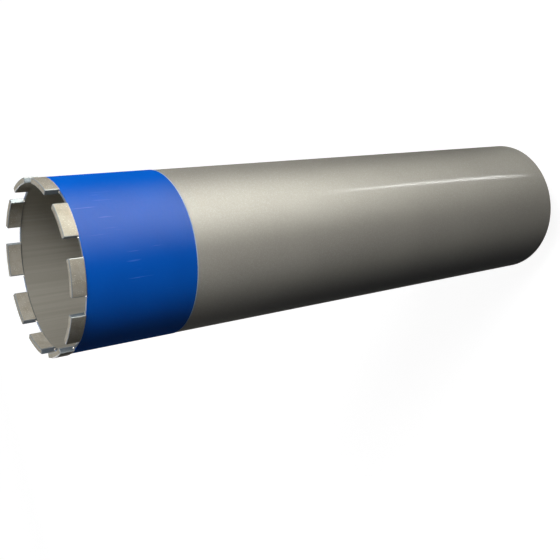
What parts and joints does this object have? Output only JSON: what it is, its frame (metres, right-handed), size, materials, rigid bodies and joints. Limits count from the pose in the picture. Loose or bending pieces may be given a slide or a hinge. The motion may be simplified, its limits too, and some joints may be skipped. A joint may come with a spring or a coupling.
{
  "type": "diamond core bit",
  "caption": "Wet diamond core bit: a plain steel barrel with a crown of arc-shaped segments, a blue end band and a threaded hub.",
  "frame": {"origin": "centre of the hub's seat face, at the bottom of the part", "axes": "+Z along the barrel's axis from the hub to the crown; +X through the middle of the first segment"},
  "size_m": [0.122, 0.1212, 0.51],
  "materials": {
    "barrel_lacquer": "warm grey metallic lacquer on steel tube, half gloss, with a faint orange peel",
    "band_film": "glossy blue film, lightly scuffed",
    "hub_steel": "turned and milled steel, oiled",
    "segment_matrix": "sintered metal with diamond grit, matt and fine grained",
    "silver_solder": "bright silver solder, as it set"
  },
  "bodies": {
    "root": {"barrel_tube": "barrel_lacquer", "blue_band": "band_film", "end_plate": "barrel_lacquer", "threaded_hub": "hub_steel", "segment_01": "segment_matrix", "segment_02": "segment_matrix", "segment_03": "segment_matrix", "segment_04": "segment_matrix", "segment_05": "segment_matrix", "segment_06": "segment_matrix", "segment_07": "segment_matrix", "segment_08": "segment_matrix", "segment_09": "segment_matrix", "segment_10": "segment_matrix", "braze_01": "silver_solder", "braze_02": "silver_solder", "braze_03": "silver_solder", "braze_04": "silver_solder", "braze_05": "silver_solder", "braze_06": "silver_solder", "braze_07": "silver_solder", "braze_08": "silver_solder", "braze_09": "silver_solder", "braze_10": "silver_solder", "plate_weld": "barrel_lacquer", "hub_weld": "barrel_lacquer"}
  },
  "joints": []
}
